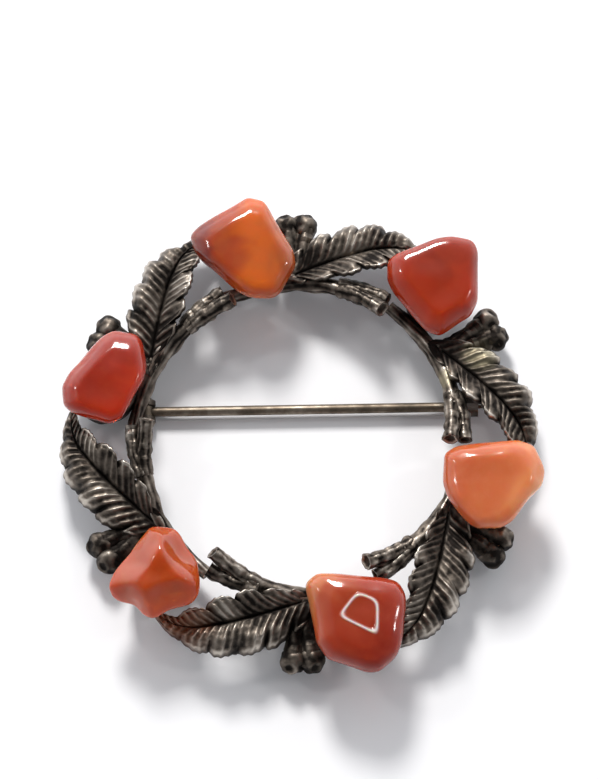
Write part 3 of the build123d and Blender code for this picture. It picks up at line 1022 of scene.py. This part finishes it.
def tumbled_stone(number, material):
    """Stone drawn up from its outline and ground flat in places, with a fine lumpy skin over it."""
    height_share, top_share, shift_across, shift_up = STONE_TOPS[number]
    seat = polar_point(STONE_ANGLE + number * SECTOR_ANGLE, RING_RADIUS, STONE_SEAT)
    outline = rounded_outline([Vector((x, y, 0)) * STONE_REACH for x, y in STONE_CORNERS[number]])
    shift = Vector((shift_across, shift_up, 0)) * STONE_REACH
    levels = STONE_SIDES + ((1.0, top_share, 1.0),)

    bm = bmesh.new()
    first = levels[0][1]
    cap = bm.faces.new([bm.verts.new(seat + point * first) for point in outline])
    before = (seat, first)
    for level, breadth, moved in levels[1:]:
        middle = seat + shift * moved + Vector((0, 0, STONE_HEIGHT * height_share * level))
        ring, caps = extruded(bm, [cap])
        cap = caps[0]
        for vert in ring:
            vert.co = middle + (vert.co - before[0]) * (breadth / before[1])
        before = (middle, breadth)
    centre = stone_centre(number)
    for heading, tilt, distance in STONE_FLATS[number]:
        flat = polar_point(heading, math.cos(math.radians(tilt)), math.sin(math.radians(tilt)))
        bmesh.ops.bisect_plane(
            bm, geom=bm.verts[:] + bm.edges[:] + bm.faces[:],
            plane_co=centre + flat * (distance * STONE_REACH), plane_no=flat, clear_outer=True,
        )
    bmesh.ops.delete(bm, geom=bm.faces[:], context="FACES_ONLY")
    bmesh.ops.convex_hull(bm, input=bm.verts[:], use_existing_faces=False)

    # The hull's faces come in no fixed order, so the skin is a sphere laid on it
    hull = BVHTree.FromBMesh(bm)
    bm.clear()
    bmesh.ops.create_icosphere(bm, subdivisions=STONE_FINENESS, radius=1.0)
    for vert in bm.verts:
        out = vert.co.normalized()
        skin = hull.ray_cast(centre, out)[0]
        lump = noise.noise(skin / LUMP_SIZE + Vector((0, 0, LUMP_STEP * number)))
        vert.co = skin + out * (lump * STONE_LUMPS[number])

    # The stone fills the box of its solid
    lowest, highest = (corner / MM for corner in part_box(f"stone_{number + 1}"))
    for axis in range(3):
        start = min(vert.co[axis] for vert in bm.verts)
        share = (highest[axis] - lowest[axis]) / (max(vert.co[axis] for vert in bm.verts) - start)
        for vert in bm.verts:
            vert.co[axis] = lowest[axis] + (vert.co[axis] - start) * share
    piece = finished_piece(
        f"tumbled_{number + 1}", bm, material, node=f"stone_{number + 1}", crease=180,
    )
    soften = piece.modifiers.new("tumbling", "SMOOTH")
    soften.factor = TUMBLING_STRENGTH
    soften.iterations = TUMBLING_PASSES
    return piece


# Finishes

# Colours of the casting and of the pin, from the dark recesses to the worn high spots
RECESS = (0.012, 0.0095, 0.008)
MIDDLE = (0.153, 0.127, 0.104)
WORN = (0.47, 0.425, 0.37)
PIN_RECESS = (0.04, 0.033, 0.026)
PIN_MIDDLE = (0.15, 0.12, 0.09)
PIN_WORN = (0.38, 0.33, 0.27)

# Stains on the casting: place and reach in millimetres, and colour
RUST = (0.17, 0.045, 0.012)
TARNISH = (0.34, 0.30, 0.20)
STAINS = (
    ((-12.5, -18.5, 4.0), 5.0, RUST),
    ((18.6, 8.6, 5.0), 2.7, TARNISH),
    ((14.6, 5.6, 5.0), 1.5, TARNISH),
)
cast_metal = antiqued_metal("antiqued_cast_metal", RECESS, MIDDLE, WORN, STAINS)
pin_metal = antiqued_metal("dull_pin_wire", PIN_RECESS, PIN_MIDDLE, PIN_WORN)

# Stones: finish, heading of the colour change, colour of the clouds, and colours along the heading
STONE_COLOURS = (
    ("amber_stone", (0.75, 0.0, 0.0), (0.42, 0.13, 0.03),
     ((0.08, (0.22, 0.022, 0.008)), (0.30, (0.42, 0.060, 0.010)), (0.60, (0.66, 0.135, 0.010)),
      (0.92, (0.44, 0.100, 0.020)))),
    ("brick_stone", (0.3, 0.9, 0.2), (0.46, 0.055, 0.016),
     ((0.10, (0.52, 0.044, 0.003)), (0.50, (0.43, 0.034, 0.004)), (0.90, (0.32, 0.030, 0.008)))),
    ("peach_stone", (0.95, -0.3, 0.1), (0.80, 0.30, 0.14),
     ((0.10, (0.60, 0.135, 0.045)), (0.50, (0.68, 0.180, 0.060)), (0.78, (0.80, 0.300, 0.110)),
      (0.95, (0.95, 0.56, 0.30)))),
    ("brick_stone", (-0.75, 0.65, 0.1), (0.48, 0.070, 0.024),
     ((0.10, (0.34, 0.026, 0.008)), (0.50, (0.42, 0.042, 0.009)), (0.78, (0.50, 0.090, 0.024)),
      (0.95, (0.66, 0.240, 0.090)))),
    ("orange_stone", (0.2, -0.9, 0.1), (0.64, 0.170, 0.050),
     ((0.10, (0.46, 0.080, 0.010)), (0.50, (0.50, 0.070, 0.006)), (0.90, (0.66, 0.100, 0.008)))),
    ("red_stone", (0.55, -0.75, 0.0), (0.50, 0.060, 0.014),
     ((0.08, (0.44, 0.120, 0.080)), (0.35, (0.36, 0.022, 0.004)), (0.92, (0.56, 0.034, 0.003)))),
)

# Shallow flat ground on a stone, its edge raised by a bump and lightened by a painted highlight: its
# middle across and up from the stone's, its reach, both in millimetres, and the headings of its sides
STONE_CHIPS = {3: (0.75, 0.45, 1.48, (-52, 24, 92, 208))}

for number in range(SECTORS):
    grown_leaf(number, cast_metal)
    grown_branch(number, cast_metal)
    grown_berries(number, cast_metal)
    stone_pad(number, cast_metal)
    finish, heading, cloud, stops = STONE_COLOURS[number]
    chip = STONE_CHIPS.get(number)
    stone = chalcedony(f"tumbled_chalcedony_{number + 1}", stone_centre(number), heading, stops, cloud, chip)
    tumbled_stone(number, stone)
hinge_ears(cast_metal)
plain_catch(cast_metal)
pin_wire(pin_metal)
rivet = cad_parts["hinge_rivet"]
rivet.data.materials.clear()
rivet.data.materials.append(pin_metal)

# Floor, light and camera: places and sizes in metres, the camera's sensor in millimetres

FLOOR_REACH = 1.5
floor_mesh = bmesh.new()
bmesh.ops.create_grid(floor_mesh, x_segments=4, y_segments=4, size=FLOOR_REACH)
sheet_mesh = bpy.data.meshes.new("pale_floor")
floor_mesh.to_mesh(sheet_mesh)
floor_mesh.free()
sheet_mesh.materials.append(floor_material())
floor = bpy.data.objects.new("pale_floor", sheet_mesh)
bpy.context.scene.collection.objects.link(floor)

# The room is brightest low down and behind the brooch, and dim overhead and on the near side
ROOM_LOW = 1.90
ROOM_TOP = 0.20
ROOM_FRONT = 0.42
ROOM_BACK = 1.55
ROOM_COLOUR = (0.95, 0.965, 1.0)

# Fades of the room: axis, where on it the fade starts, strengths at its start and end, and kind
ROOM_FADES = (
    ("Z", 0.0, ROOM_LOW, ROOM_TOP, "LINEAR"),
    ("Y", -0.4, ROOM_FRONT, ROOM_BACK, "SMOOTHSTEP"),
)
world = bpy.data.worlds.new("soft_room")
world.use_nodes = True
sky = world.node_tree.nodes["Background"]
sky.inputs["Color"].default_value = (*ROOM_COLOUR, 1.0)
direction = world.node_tree.nodes.new("ShaderNodeTexCoord")
parts = world.node_tree.nodes.new("ShaderNodeSeparateXYZ")
world.node_tree.links.new(direction.outputs["Generated"], parts.inputs["Vector"])
glow = world.node_tree.nodes.new("ShaderNodeMath")
glow.operation = "MULTIPLY"
for place, (axis, lowest, start, end, bend) in enumerate(ROOM_FADES):
    fade = world.node_tree.nodes.new("ShaderNodeMapRange")
    fade.inputs["From Min"].default_value = lowest
    fade.inputs["To Min"].default_value = start
    fade.inputs["To Max"].default_value = end
    fade.interpolation_type = bend
    world.node_tree.links.new(parts.outputs[axis], fade.inputs["Value"])
    world.node_tree.links.new(fade.outputs["Result"], glow.inputs[place])
world.node_tree.links.new(glow.outputs["Value"], sky.inputs["Strength"])
bpy.context.scene.world = world


def soft_lamp(name, place, size, power, colour):
    """Square soft light that faces the brooch."""
    lamp = bpy.data.lights.new(name, "AREA")
    lamp.shape = "SQUARE"
    lamp.size = size
    lamp.energy = power
    lamp.color = colour
    holder = bpy.data.objects.new(name, lamp)
    bpy.context.scene.collection.objects.link(holder)
    holder.location = place
    holder.rotation_euler = (-Vector(place)).to_track_quat("-Z", "Y").to_euler()


# Lamps: name, place, side, power in watts and colour
GLINT_COLOUR = (1.0, 0.99, 0.97)
LAMPS = (
    ("window_light", (-0.045, 0.31, 0.28), 0.092, 1.75, (1.0, 0.985, 0.96)),
    ("left_glint", (-0.26, 0.12, 0.27), 0.035, 0.13, GLINT_COLOUR),
    ("right_glint", (0.27, 0.04, 0.30), 0.035, 0.11, GLINT_COLOUR),
)
for row in LAMPS:
    soft_lamp(*row)

# The camera looks down at the face from the lower edge, about 74 degrees above the floor
CAMERA_TARGET = Vector((0.2, 5.4, 2.15)) * MM
CAMERA_ELEVATION = math.radians(73.8)
CAMERA_DISTANCE = 420 * MM
CAMERA_ROLL = math.radians(-0.95)
FRAME_WIDTH = 60.8 * MM
SENSOR_WIDTH = 36.0
NEAREST_SEEN = 0.01
FURTHEST_SEEN = 10.0
camera_data = bpy.data.cameras.new("camera")
camera_data.sensor_fit = "HORIZONTAL"
camera_data.sensor_width = SENSOR_WIDTH
camera_data.lens = SENSOR_WIDTH * CAMERA_DISTANCE / FRAME_WIDTH
camera_data.clip_start = NEAREST_SEEN
camera_data.clip_end = FURTHEST_SEEN
camera = bpy.data.objects.new("camera", camera_data)
bpy.context.scene.collection.objects.link(camera)
sight = Vector((0, -math.cos(CAMERA_ELEVATION), math.sin(CAMERA_ELEVATION)))
camera.location = CAMERA_TARGET + sight * CAMERA_DISTANCE
turn = (-sight).to_track_quat("-Z", "Y").to_matrix() @ Matrix.Rotation(CAMERA_ROLL, 3, "Z")
camera.rotation_euler = turn.to_euler()
bpy.context.scene.camera = camera
bpy.context.scene.view_settings.view_transform = "Standard"

bpy.context.view_layer.update()
